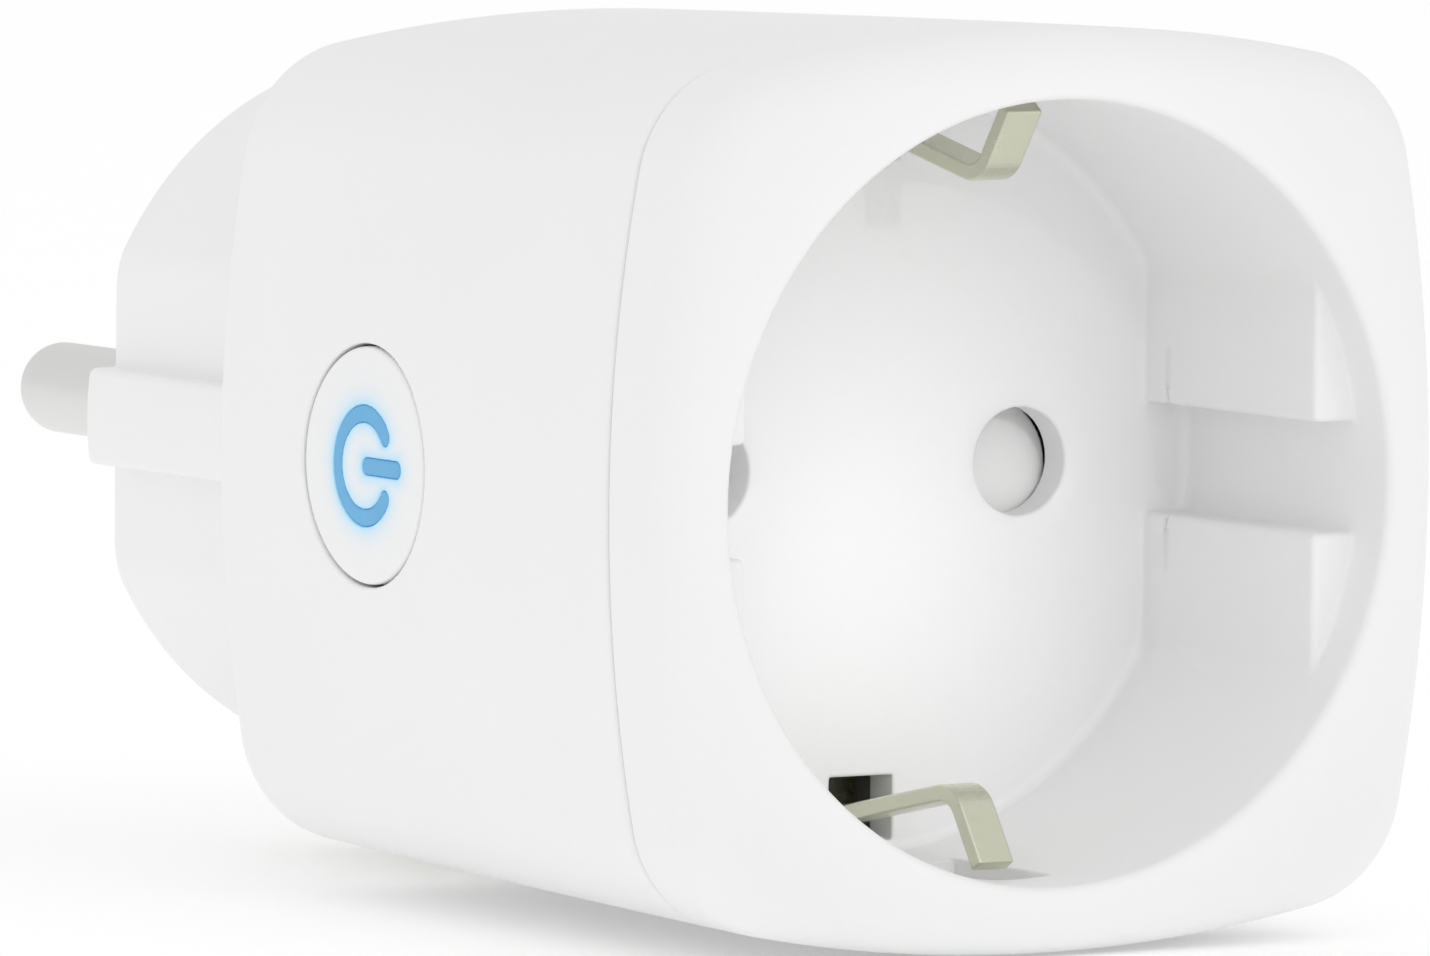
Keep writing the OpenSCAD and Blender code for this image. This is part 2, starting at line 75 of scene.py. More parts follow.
# button: cap, and the power symbol's ring, whose gap faces the front
BUTTON_R, BUTTON_S, BUTTON_GAP, CAP_SKIN, CAP_DEPTH = 6.0, 30.15, 0.15, 0.75, 2.9
BUTTON_X = -(BODY_W / 2 - TAPER * (BUTTON_S / BODY_LEN) ** TAPER_POWER)
SYMBOL_R, STROKE, GAP_ANGLE, BAR_START, BAR_END = 3.05, 0.85, math.radians(36), 0.3, 3.3

# spring clips: strip width and thickness, its sideways place, and points (s, z) of the upper one
CLIP_W, CLIP_T, CLIP_X, CLIP_BEND_R, CLIP_EYE_R = 2.1, 0.85, 0.6, 1.75, 0.65
CLIP_ROOT, CLIP_WALL, CLIP_CORNER, CLIP_TIP = (21.4, 17.6), (18.2, 17.5), (7.6, 15.3), (5.15, 18.94)


# ---- distance functions: below zero inside the solid ----

def both(a, b, r=0.0):
    """What a and b share, with the edge between them rounded to r."""
    top = np.maximum(a, b)
    if r == 0:
        return top
    u, v = np.maximum(a + r, 0), np.maximum(b + r, 0)
    return np.where(top < -r, top, np.sqrt(u * u + v * v) - r + np.minimum(top + r, 0))


def cut(a, b, r=0.0):
    """What is left of a without b, with the edge rounded to r."""
    return both(a, -b, r)


def join(a, b, r=0.0):
    """a and b together, with the corner between them filled to r."""
    return -both(-a, -b, r)


def side_wall(x, s, z):
    """Distance outside the tapered, bulged square that the body's sides follow."""
    half = BODY_W / 2 - TAPER * np.clip(s / BODY_LEN, 0, 1) ** TAPER_POWER
    a, b = SIDE_R - half, SIDE_R - CORNER_R
    c = (np.sqrt(2 * b * b - a * a) - a) / 2
    far, near = np.maximum(abs(x), abs(z)), np.minimum(abs(x), abs(z))
    arc = np.hypot(far + a, near) - SIDE_R
    corner = np.hypot(far - c, near - c) - CORNER_R
    return np.where(near * (c + a) <= (far + a) * c, arc, corner)


def rod(x, s, z, r, s0, s1, cx=0.0, cz=0.0, soft=0.0):
    """Round bar along s from s0 to s1."""
    return both(np.hypot(x - cx, z - cz) - r, np.maximum(s0 - s, s - s1), soft)


def span(v, low, high):
    """Slab of v from low to high."""
    return np.maximum(low - v, v - high)


def brick(x, s, z, xs, ss, zs, soft=0.0):
    """Block between the low and high of each of xs, ss and zs."""
    return both(both(span(x, *xs), span(z, *zs), soft), span(s, *ss), soft)


def screw_holes(x, z, r):
    """Holes for the four base screws, on the diagonals round the rear opening."""
    angles = [math.radians(45 + 90 * k) for k in range(4)]
    holes = [np.hypot(x - SCREW_REACH * math.cos(a), z - SCREW_REACH * math.sin(a)) for a in angles]
    return np.minimum.reduce(holes) - r


def front_cover(x, s, z):
    """Front frame, recess cup with its guide blocks, and the lip that enters the housing."""
    side = side_wall(x, s, z)
    rho = np.hypot(x, z)
    ax, az = abs(x), abs(z)
    solid = both(both(side, -s, FRONT_ROUND), s - SEAM, EDGE)
    solid = cut(solid, np.maximum(side + WALL, 2.2 - s))
    lip_outside = side + WALL + 0.1
    lip = both(np.maximum(lip_outside, span(s, SEAM - 0.8, SEAM + LIP_LEN)), -(lip_outside + LIP_T))
    solid = np.minimum(solid, lip)
    solid = np.minimum(solid, both(rho - CUP_R, span(s, 0.6, FLOOR_BACK), 0.2))
    solid = np.minimum(solid, brick(ax, s, az, (-1, PAD_X), PAD_S, PAD_Z))
    for cx, cz in POSTS:
        solid = join(solid, rod(x, s, z, POST_R, FLOOR_BACK - 1, POST_END, cx, cz, 0.1), 0.3)
    pivot_end = SHUTTER_S + SHUTTER_T + 0.4
    solid = join(solid, rod(x, s, z, PIVOT_R, FLOOR_BACK - 1, pivot_end, soft=0.2), 0.2)
    rib = both(both(RIB_X - ax, CHANNEL - az, 0.35), RIB_START - s, 0.35)
    recess = cut(both(rho - RECESS_R, s - RECESS_DEPTH, 0.6), rib, 0.25)
    solid = cut(solid, recess, 0.5)
    hole = np.hypot(ax - PIN_X, z)
    slope = (FUNNEL_R - HOLE_R) / SINK
    funnel = (hole - FUNNEL_R + (s - RECESS_DEPTH) * slope) / math.hypot(slope, 1)
    solid = cut(solid, join(hole - HOLE_R, both(funnel, RECESS_DEPTH - 2 - s), 0.12), 0.2)
    slot = brick(ax, s, az, (-9, SLOT_X), (RECESS_DEPTH - 0.9, FLOOR_BACK + 1), SLOT_Z, 0.12)
    solid = cut(solid, slot, 0.12)
    solid = cut(solid, brick(ax, s, az, (-9, RELIEF_X), RELIEF_S, RELIEF_Z, 0.12), 0.15)
    for cx, cz in POSTS:
        solid = cut(solid, rod(x, s, z, POST_HOLE_R, FLOOR_BACK + 0.4, POST_END + 1.2, cx, cz))
    return solid


def main_housing(x, s, z):
    """Sleeve behind the joint line, with the rear wall's openings and the button's opening."""
    side = side_wall(x, s, z)
    solid = both(both(side, s - BODY_LEN, REAR_ROUND), SEAM + SEAM_GAP - s, EDGE)
    solid = cut(solid, both(side + WALL, s - (BODY_LEN - WALL), 0.8), 0.1)
    rear_holes = np.minimum(np.hypot(x, z) - REAR_HOLE_R, screw_holes(x, z, SCREW_CLEAR_R))
    solid = cut(solid, np.maximum(rear_holes, 40 - s), 0.1)
    opening = np.hypot(s - BUTTON_S, z) - BUTTON_R - BUTTON_GAP
    return cut(solid, np.maximum(opening, x + 15), 0.12)


def plug_base(x, s, z):
    """Round plug body with its side flats, ridges, earth grooves, cavity and holes."""
    rho = np.hypot(x, z)
    ax, az = abs(x), abs(z)
    solid = both(both(rho - PLUG_R, s - TOTAL, PLUG_ROUND), BODY_LEN - s)
    flats = cut(both(FLAT_X - ax, FLAT_START - s), az - RIDGE, 0.2)
    solid = cut(solid, flats, 0.35)
    solid = np.minimum(solid, rod(x, s, z, REAR_HOLE_R - 0.05, BODY_LEN - WALL, BODY_LEN + 0.1))
    room = both(rho - CAVITY_R, span(s, BODY_LEN + 1, TOTAL - END_WALL))
    solid = cut(solid, both(room, both(ax - CAVITY_X, az - CAVITY_Z, 0.8)))
    solid = cut(solid, rod(x, s, z, 14.6, BODY_LEN - 3, BODY_LEN + 1.1))
    groove_x = (-9, STRIP_X + 0.1)
    groove_s = (BODY_LEN - 5, TOTAL - 1.4)
    solid = cut(solid, brick(ax, s, az, groove_x, groove_s, (STRIP_Z - STRIP_T, 25), 0.15), 0.25)
    solid = cut(solid, brick(ax, s, az, groove_x, (BODY_LEN + 0.6, BODY_LEN + 1.8), (12, 16)))
    pin_hole = np.hypot(ax - PIN_X, z) - COLLAR_R
    hole = np.minimum(pin_hole, np.hypot(x, z - EARTH_HOLE_Z) - EARTH_HOLE_R)
    solid = cut(solid, np.maximum(hole, TOTAL - END_WALL - 1 - s), 0.15)
    return cut(solid, np.maximum(screw_holes(x, z, SCREW_PILOT_R), s - BODY_LEN - 7))


def symbol_distance(u, v):
    """Distance to the power symbol in the button's plane, with u towards the front."""
    middle = SYMBOL_R - STROKE / 2
    rho = np.hypot(u, v)
    end = np.hypot(u - middle * math.cos(GAP_ANGLE), abs(v) - middle * math.sin(GAP_ANGLE))
    in_gap = abs(v) * math.cos(GAP_ANGLE) < u * math.sin(GAP_ANGLE)
    ring = np.where(in_gap, end, abs(rho - middle))
    bar = np.hypot(np.maximum(span(u, BAR_START, BAR_END), 0), v)
    return np.minimum(ring, bar) - STROKE / 2


def button_cap(x, s, z):
    """Cap flush with the side, with a flange, a pocket for the light guide and a grooved symbol."""
    face = side_wall(x, s, z) + 0.02
    rho = np.hypot(s - BUTTON_S, z)
    back = BUTTON_X + CAP_DEPTH
    solid = both(both(rho - BUTTON_R, face, 0.22), x - back)
    solid = np.minimum(solid, np.maximum(rho - BUTTON_R - 0.9, span(x, back - 0.5, back)))
    pocket = np.maximum(rho - 4.8, span(x, BUTTON_X + CAP_SKIN, BUTTON_X + CAP_SKIN + 1.15))
    leg = np.maximum(np.hypot(s - BUTTON_S, z - 4.3) - 0.95, BUTTON_X + 1 - x)
    solid = cut(cut(solid, pocket), leg)
    groove = np.maximum(symbol_distance(BUTTON_S - s, z) - 0.03, x - BUTTON_X - CAP_SKIN - 0.1)
    return cut(solid, groove, 0.05)


def power_symbol(x, s, z):
    """Inlay in the cap's groove."""
    face = side_wall(x, s, z) + 0.05
    return both(both(symbol_distance(BUTTON_S - s, z), face, 0.08), x - BUTTON_X - CAP_SKIN)


def shutter(x, s, z):
    """Plate with a disc behind each pin hole; each disc's ramp lets a plug's pins turn it."""
    turn = np.where(x >= 0, z, -z)
    face = SHUTTER_S + np.clip((turn + 1.6) * 0.16, 0, 0.6) - s
    disc = np.hypot(abs(x) - PIN_X, z) - DISC_R
    arm = both(abs(x) - PIN_X, abs(z) - ARM_Z, 0.2)
    plate = np.minimum(join(disc, arm, 0.6), np.hypot(x, z) - HUB_R)
    flat = np.where(np.hypot(x, z) < 4.5, SHUTTER_S - s, face)
    plate = both(both(plate, flat, 0.12), s - SHUTTER_S - SHUTTER_T, 0.12)
    return cut(plate, np.hypot(x, z) - PIVOT_R - 0.05, 0.1)


def clip_path():
    """Centre line of the upper spring clip in s and z, from its root to its tip."""
    corner = Vector(CLIP_CORNER)
    a, b = (Vector(CLIP_WALL) - corner).normalized(), (Vector(CLIP_TIP) - corner).normalized()
    half = a.angle(b) / 2
    centre = corner + (a + b).normalized() * CLIP_BEND_R / math.sin(half)
    first, last = [corner + leg * CLIP_BEND_R / math.tan(half) - centre for leg in (a, b)]
    t0, t1 = math.atan2(first.y, first.x), math.atan2(last.y, last.x)
    turn = (t1 - t0 + math.pi) % (2 * math.pi) - math.pi
    angles = [t0 + turn * k / 8 for k in range(9)]
    curve = [tuple(centre + CLIP_BEND_R * Vector((math.cos(t), math.sin(t)))) for t in angles]
    return [CLIP_ROOT, CLIP_WALL] + curve + [CLIP_TIP]


CLIP_PATH = clip_path()


def earth_clip(x, s, z):
    """Bent strip along the centre line, square at its tip, with an eye at its root."""
    best = np.hypot(s - CLIP_ROOT[0], z - CLIP_ROOT[1]) - CLIP_EYE_R
    for k, ((s0, z0), (s1, z1)) in enumerate(zip(CLIP_PATH, CLIP_PATH[1:])):
        ds, dz = s1 - s0, z1 - z0
        length = math.hypot(ds, dz)
        t = ((s - s0) * ds + (z - z0) * dz) / length
        off = abs((s - s0) * dz - (z - z0) * ds) / length
        if k == len(CLIP_PATH) - 2:
            piece = both(off - CLIP_T / 2, np.maximum(-t, t - length), 0.12)
        else:
            beyond = np.maximum(np.maximum(-t, t - length), 0)
            piece = np.hypot(off, beyond) - CLIP_T / 2
        best = np.minimum(best, piece)
    return both(best, abs(x) - CLIP_W / 2, 0.14)


def rear_earth(x, s, z):
    """Bracket with an arm along each side of the plug body."""
    az = abs(z)
    web_s, jog = BODY_LEN - WALL - 1.6, BODY_LEN + 0.8
    web = both(span(s, web_s, web_s + STRIP_T), az - STRIP_INNER_Z, EDGE)
    web = cut(web, np.hypot(x, z) - 1.2, 0.1)
    inside_z, outside_z = STRIP_INNER_Z - STRIP_T, STRIP_Z - STRIP_T
    arm = both(span(az, inside_z, STRIP_INNER_Z), span(s, web_s, jog + STRIP_T), EDGE)
    step = both(span(s, jog, jog + STRIP_T), span(az, inside_z, STRIP_Z), EDGE)
    strip = both(span(az, outside_z, STRIP_Z), span(s, jog, TOTAL - 1.6), EDGE)
    profile = np.minimum(np.minimum(web, arm), join(step, strip, EDGE))
    return both(profile, abs(x) - STRIP_X, 0.12)


# ---- meshes ----

COARSE = 1.0
RELAX_STEPS = 3


def stops(*parts):
    """Grid lines: each part is (end, step), and the first part is (start, 0)."""
    lines = [parts[0][0]]
    for end, step in parts[1:]:
        count = max(1, round((end - lines[-1]) / step / COARSE))
        lines += list(np.linspace(lines[-1], end, count + 1)[1:])
    return np.array(lines, np.float32)


def mirrored(*parts):
    """Grid lines on both sides of 0, from the lines on one side."""
    half = stops(*parts)
    return np.concatenate([-half[:0:-1], half])


def gradient(field, p, h=0.01):
    """Slope of field at each point, from values h either side of it."""
    grad = np.empty_like(p)
    for axis in range(3):
        step = np.zeros(3, p.dtype)
        step[axis] = h
        grad[:, axis] = (field(*(p + step).T) - field(*(p - step).T)) / (2 * h)
    return grad


def settle(field, p, limit):
    """Move each point onto the surface, by no more than its own limit in each step."""
    grad = gradient(field, p)
    size = np.maximum((grad * grad).sum(1), 0.05)
    step = -(field(*p.T) / size)[:, None] * grad
    length = np.linalg.norm(step, axis=1)
    return p + step * np.minimum(1, limit / np.maximum(length, 1e-9))[:, None]


def surface(name, field, xs, ss, zs):
    """Mesh of the surface where field is zero: one point for each grid cell it crosses."""
    value = field(xs[:, None, None], ss[None, :, None], zs[None, None, :])
    value = np.broadcast_to(value, (len(xs), len(ss), len(zs)))
    inside = value < 0
    count = np.zeros([n - 1 for n in inside.shape], np.int8)
    shifts = [(i, j, k) for i in (0, 1) for j in (0, 1) for k in (0, 1)]
    for i, j, k in shifts:
        count += inside[i:i + count.shape[0], j:j + count.shape[1], k:k + count.shape[2]]
    cells = np.argwhere((count > 0) & (count < 8))
    index = np.full(count.shape, -1, np.int64)
    index[tuple(cells.T)] = np.arange(len(cells))
    lines = (xs, ss, zs)
    total, hits = np.zeros((len(cells), 3)), np.zeros(len(cells))
    for axis in range(3):
        for shift in shifts:
            if shift[axis]:
                continue
            low = cells + shift
            high = low.copy()
            high[:, axis] += 1
            f0, f1 = value[tuple(low.T)], value[tuple(high.T)]
            crossed = (f0 < 0) != (f1 < 0)
            t = np.where(crossed, f0 / np.where(crossed, f0 - f1, 1), 0)
            point = np.stack([lines[a][low[:, a]] for a in range(3)], 1).astype(float)
            point[:, axis] += t * (lines[axis][high[:, axis]] - lines[axis][low[:, axis]])
            total += point * crossed[:, None]
            hits += crossed
    points = total / hits[:, None]
    quads = []
    for axis in range(3):
        b, c = (axis + 1) % 3, (axis + 2) % 3
        first = [slice(None)] * 3
        last = [slice(None)] * 3
        first[axis], last[axis] = slice(0, -1), slice(1, None)
        for a in (b, c):
            first[a] = last[a] = slice(1, -1)
        starts, ends = inside[tuple(first)], inside[tuple(last)]
        for flip, found in ((False, starts & ~ends), (True, ~starts & ends)):
            base = np.argwhere(found)
            base[:, b] += 1
            base[:, c] += 1
            corners = []
            for db, dc in ((-1, -1), (0, -1), (0, 0), (-1, 0)):
                cell = base.copy()
                cell[:, b] += db
                cell[:, c] += dc
                corners.append(index[tuple(cell.T)])
            quads.append(np.stack(corners[::-1] if flip else corners, 1))
    quads = np.concatenate(quads)
    cell_size = np.min([np.diff(lines[a])[cells[:, a]] for a in range(3)], axis=0)
    edges = np.concatenate([quads[:, [k, (k + 1) % 4]] for k in range(4)])
    degree = np.bincount(edges[:, 0], minlength=len(points))
    for _ in range(3):
        points = settle(field, points, cell_size)
    for _ in range(RELAX_STEPS):
        mean = np.stack([np.bincount(edges[:, 0], points[edges[:, 1], a], len(points))
                         for a in range(3)], 1) / np.maximum(degree, 1)[:, None]
        points = settle(field, points * 0.5 + mean * 0.5, cell_size)
        points = settle(field, points, cell_size)
    return mesh_object(name, points, quads.tolist(), gradient(field, points))


def mesh_object(name, points, faces, normals=None):
    """Smooth object in metres from points in x, s and z, with these normals if they are given."""
    place = np.array(points, float)
    place[:, 1] -= TOTAL
    mesh = bpy.data.meshes.new(name)
    mesh.from_pydata((place * MM).tolist(), [], faces)
    mesh.validate()
    mesh.shade_smooth()
    if normals is not None:
        unit = normals / np.maximum(np.linalg.norm(normals, axis=1), 1e-9)[:, None]
        mesh.normals_split_custom_set_from_vertices(unit.tolist())
    piece = bpy.data.objects.new(name, mesh)
    bpy.context.scene.collection.objects.link(piece)
    return piece


def turned(name, profile, cx, sides=96):
    """Profile of (radius, s) points turned about a line along s; both ends lie on the axis."""
    points = [(cx, profile[0][1], 0.0)]
    for r, s in profile[1:-1]:
        ring = [2 * math.pi * k / sides for k in range(sides)]
        points += [(cx + r * math.cos(t), s, r * math.sin(t)) for t in ring]
    points.append((cx, profile[-1][1], 0.0))
    faces = []
    rings = len(profile) - 2
    for k in range(sides):
        n = (k + 1) % sides
        faces.append((0, 1 + k, 1 + n))
        for j in range(rings - 1):
            a, b = 1 + j * sides, 1 + (j + 1) * sides
            faces.append((a + k, b + k, b + n, a + n))
        a = 1 + (rings - 1) * sides
        faces.append((a + k, len(points) - 1, a + n))
    return mesh_object(name, points, faces)


def fillet(corner, r, start, end, steps):
    """Points of a round of radius r about corner, from the angle start to end in degrees."""
    angles = [math.radians(start + (end - start) * k / steps) for k in range(steps + 1)]
    return [(corner[0] + r * math.cos(t), corner[1] + r * math.sin(t)) for t in angles]


# ---- materials ----

def add(tree, kind, inputs=None, **settings):
    """New shader node; each input is another node's output or a fixed value."""
    node = tree.nodes.new("ShaderNode" + kind)
    for key, value in settings.items():
        setattr(node, key, value)
    for key, value in (inputs or {}).items():
        if isinstance(value, bpy.types.NodeSocket):
            tree.links.new(value, node.inputs[key])
        else:
            node.inputs[key].default_value = value
    return node


def math_node(tree, operation, a, b=0.0):
    return add(tree, "Math", {0: a, 1: b}, operation=operation).outputs[0]


def noise(tree, where, size, detail=3.0):
    """Noise whose features are about size millimetres across."""
    return add(tree, "TexNoise", {"Vector": where, "Scale": 1 / (size * MM), "Detail": detail,
                                  "Roughness": 0.55}).outputs["Fac"]


def ramp(tree, value, low, high):
    """The middle of a noise's range, spread from low to high."""
    return add(tree, "MapRange", {"Value": value, "From Min": 0.3, "From Max": 0.7,
                                  "To Min": low, "To Max": high}).outputs["Result"]


def blend_colour(tree, share, a, b):
    node = add(tree, "Mix", {"Factor": share}, data_type="RGBA")
    for key, value in ((6, a), (7, b)):
        if isinstance(value, bpy.types.NodeSocket):
            tree.links.new(value, node.inputs[key])
        else:
            node.inputs[key].default_value = (*value, 1)
    return node.outputs[2]


def shade(colour, factor):
    """Colour made lighter or darker by factor."""
    return tuple(min(1, c * factor) for c in colour)


def start(name, **fixed):
    """New material, with fixed values on its shader, and the place on the object."""
    material = bpy.data.materials.new(name)
    material.use_nodes = True
    tree = material.node_tree
    surface_node = tree.nodes["Principled BSDF"]
    for key, value in fixed.items():
        surface_node.inputs[key.replace("_", " ")].default_value = value
    where = tree.nodes.new("ShaderNodeTexCoord").outputs["Object"]
    return material, tree, surface_node, where


def finish_surface(tree, node, where, colour, rough, spread, grain, relief, change):
    """Cloudy colour change, roughness that varies, and a fine grain in the normals."""
    cloud = noise(tree, where, 14)
    tree.links.new(blend_colour(tree, ramp(tree, cloud, 0, 1), shade(colour, 1 - change), colour),
                   node.inputs["Base Color"])
    patches = noise(tree, where, 2.5, 4)
    tree.links.new(ramp(tree, patches, rough - spread, rough + spread), node.inputs["Roughness"])
    height = noise(tree, where, grain, 2)
    bump = add(tree, "Bump", {"Height": height, "Strength": relief, "Distance": grain * 0.2 * MM})
    tree.links.new(bump.outputs["Normal"], node.inputs["Normal"])


def plastic(name, colour, rough=0.42, change=0.012, **fixed):
    """Moulded plastic with a satin texture."""
    material, tree, node, where = start(name, **fixed)
    finish_surface(tree, node, where, colour, rough, 0.05, 0.16, 0.25, change)
    return material


def metal(name, colour, rough=0.3, spread=0.08, along=None):
    """Metal; along names the axis that rolling or drawing marks run in."""
    material, tree, node, where = start(name, Metallic=1.0)
    if along is not None:
        scale = [1.0, 1.0, 1.0]
        scale[along] = 0.06
        where = add(tree, "Mapping", {"Vector": where, "Scale": scale}).outputs["Vector"]
    finish_surface(tree, node, where, colour, rough, spread, 0.12, 0.3, 0.12)
    return material


def circuit_board(name, colour, track):
    """Solder mask over tracks."""
    material, tree, node, where = start(name, Coat_Weight=0.3)
    cells = add(tree, "TexVoronoi", {"Vector": where, "Scale": 420.0, "Randomness": 0.55},
                distance="MANHATTAN", feature="DISTANCE_TO_EDGE").outputs["Distance"]
    lines = add(tree, "MapRange", {"Value": cells, "From Min": 0.05, "From Max": 0.09,
                                   "To Min": 1.0, "To Max": 0.0}).outputs["Result"]
    cloud = noise(tree, where, 6)
    mask = blend_colour(tree, ramp(tree, cloud, 0, 1), shade(colour, 0.85), colour)
    tree.links.new(blend_colour(tree, lines, mask, track), node.inputs["Base Color"])
    tree.links.new(ramp(tree, cloud, 0.28, 0.4), node.inputs["Roughness"])
    bump = add(tree, "Bump", {"Height": lines, "Strength": 0.4, "Distance": 0.03 * MM})
    tree.links.new(bump.outputs["Normal"], node.inputs["Normal"])
    return material


def winding(name, wire, gap):
    """Turns of enamelled wire side by side, with painted shade in the gaps between them."""
    material, tree, node, where = start(name, Metallic=0.6, Coat_Weight=0.4)
    turns = add(tree, "TexWave", {"Vector": where, "Scale": 700.0, "Distortion": 0.4},
                bands_direction="Y", wave_profile="SIN").outputs["Fac"]
    # The gap colour is painted shade in the grooves where neighbouring turns meet.
    tree.links.new(blend_colour(tree, turns, gap, wire), node.inputs["Base Color"])
    tree.links.new(ramp(tree, noise(tree, where, 1), 0.25, 0.4), node.inputs["Roughness"])
    bump = add(tree, "Bump", {"Height": turns, "Strength": 0.8, "Distance": 0.1 * MM})
    tree.links.new(bump.outputs["Normal"], node.inputs["Normal"])
    return material


def glow(tree, where):
    """1 on the power symbol, falling off over the cap round it, from the place on the object."""
    def maths(operation, a, b=0.0):
        return math_node(tree, operation, a, b)

    def length(a, b):
        return maths("SQRT", maths("ADD", maths("MULTIPLY", a, a), maths("MULTIPLY", b, b)))

    parts = add(tree, "SeparateXYZ", {0: where})
    u = maths("MULTIPLY_ADD", parts.outputs["Y"], -1 / MM)
    u.node.inputs[2].default_value = BUTTON_S - TOTAL
    v = maths("ABSOLUTE", maths("MULTIPLY", parts.outputs["Z"], 1 / MM))
    middle = SYMBOL_R - STROKE / 2
    ring = maths("ABSOLUTE", maths("SUBTRACT", length(u, v), middle))
    end = length(maths("SUBTRACT", u, middle * math.cos(GAP_ANGLE)),
                 maths("SUBTRACT", v, middle * math.sin(GAP_ANGLE)))
    in_gap = maths("LESS_THAN", v, maths("MULTIPLY", u, math.tan(GAP_ANGLE)))
    pick = add(tree, "Mix", {0: in_gap, 2: ring, 3: end}).outputs[0]
    past = maths("MAXIMUM", maths("SUBTRACT", BAR_START, u), maths("SUBTRACT", u, BAR_END))
    bar = length(maths("MAXIMUM", past, 0.0), v)
    gap = maths("SUBTRACT", maths("MINIMUM", pick, bar), STROKE / 2)
    return maths("POWER", math.e, maths("MULTIPLY", maths("MAXIMUM", gap, 0.0), -1 / GLOW_REACH))


WHITE = (0.93, 0.93, 0.93)
SYMBOL_BLUE = (0.10, 0.36, 0.62)
GLOW_BLUE = (0.30, 0.68, 0.93)
GLOW_REACH = 0.42                       # distance from the symbol at which its glow falls to 1 / e


def lit_cap():
    """The cap's white plastic, tinted round the symbol by the light that leaks through it."""
    material, tree, node, where = start("cap_white")
    finish_surface(tree, node, where, WHITE, 0.4, 0.05, 0.16, 0.2, 0.01)
    plain = node.inputs["Base Color"].links[0].from_socket
    light = glow(tree, where)
    share = math_node(tree, "MULTIPLY", light, 0.85)
    tree.links.new(blend_colour(tree, share, plain, GLOW_BLUE), node.inputs["Base Color"])
    node.inputs["Emission Color"].default_value = (0.25, 0.7, 1, 1)
    tree.links.new(math_node(tree, "MULTIPLY", light, 0.12), node.inputs["Emission Strength"])
    return material


def lit_symbol():
    """Blue inlay lit unevenly from behind."""
    material, tree, node, where = start("symbol_blue", Emission_Color=(0.12, 0.42, 0.72, 1))
    finish_surface(tree, node, where, SYMBOL_BLUE, 0.35, 0.04, 0.16, 0.15, 0.04)
    tree.links.new(ramp(tree, noise(tree, where, 1.2), 0.16, 0.22), node.inputs["Emission Strength"])
    return material


BY_SLOT = {
    "white_plastic": plastic("white_satin", WHITE),
    "button_plastic": lit_cap(),
    "carrier_plastic": plastic("carrier_grey", (0.62, 0.62, 0.6), 0.5),
    "shutter_plastic": plastic("shutter_white", (0.93, 0.93, 0.925), 0.38),
    "nickel": metal("pin_nickel", (0.82, 0.815, 0.81), 0.4, 0.07, along=1),
    "plated_brass": metal("clip_brass", (0.71, 0.715, 0.57), 0.3, 0.08, along=1),
    "contact_brass": metal("contact_brass", (0.72, 0.55, 0.28), 0.28),
    "spring_steel": metal("spring_steel", (0.5, 0.5, 0.5), 0.25, along=1),
    "screw_steel": metal("screw_zinc", (0.6, 0.6, 0.58), 0.35),
    "circuit_board": circuit_board("board_green", (0.02, 0.16, 0.06), (0.05, 0.28, 0.1)),
    "black_board": circuit_board("board_black", (0.012, 0.014, 0.016), (0.04, 0.045, 0.05)),
    "relay_case": plastic("relay_blue", (0.03, 0.12, 0.4), 0.35),
    "winding": winding("copper_turns", (0.72, 0.32, 0.12), (0.16, 0.05, 0.02)),
    "film_case": plastic("film_yellow", (0.75, 0.5, 0.06), 0.4),
    "capacitor_sleeve": plastic("sleeve_dark", (0.03, 0.03, 0.05), 0.3),
    "fuse_body": plastic("fuse_brown", (0.2, 0.08, 0.04), 0.45),
    "varistor_coat": plastic("varistor_blue", (0.05, 0.2, 0.5), 0.45),
    "shield_metal": metal("shield_tin", (0.62, 0.62, 0.62), 0.3, along=1),
    "black_plastic": plastic("black_matt", (0.02, 0.02, 0.02), 0.5),
    "switch_grey": plastic("switch_grey", (0.12, 0.12, 0.12), 0.45),
    "led_lens": plastic("led_clear", (0.7, 0.8, 0.9), 0.15, Transmission_Weight=0.5),
    "diffuser": plastic("diffuser_milk", (0.8, 0.88, 0.95), 0.5),
    "symbol_light": lit_symbol(),
}


# ---- pieces ----

def put(piece, body, slot, node):
    """Give a piece its finish and its body, and hide the CAD node that it stands for."""
    piece.data.materials.append(BY_SLOT[slot])
    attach(piece, body)
    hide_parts(node)


# The grids are fine where edges and small rounds lie, and coarse across the plain faces.
COVER_X = mirrored((0, 0), (2.8, 0.16), (6, 0.3), (13, 0.16), (16.4, 0.3), (17.4, 0.18), (23.4, 0.3))
COVER_Z = mirrored((0, 0), (3.7, 0.16), (14.8, 0.3), (20.6, 0.17), (23.4, 0.28))
COVER_S = stops((-0.2, 0), (1, 0.12), (2.5, 0.2), (3.4, 0.12), (4.2, 0.27), (6.4, 0.13), (8.3, 0.3),
                (9, 0.14), (17.2, 0.45), (18.8, 0.1), (20.2, 0.22), (20.8, 0.12), (24, 0.3))
put(surface("cover_shell", front_cover, COVER_X, COVER_S, COVER_Z),
    "housing", "white_plastic", "front_cover")

HOUSING_X = stops((-23.4, 0), (-20, 0.15), (20, 0.5), (23.4, 0.3))
HOUSING_S = stops((5.9, 0), (6.7, 0.1), (23, 0.7), (36.4, 0.15), (43.4, 0.5), (47.2, 0.2))
HOUSING_Z = mirrored((0, 0), (6.8, 0.15), (15.2, 0.4), (23.4, 0.35))
put(surface("housing_shell", main_housing, HOUSING_X, HOUSING_S, HOUSING_Z),
    "housing", "white_plastic", "main_housing")

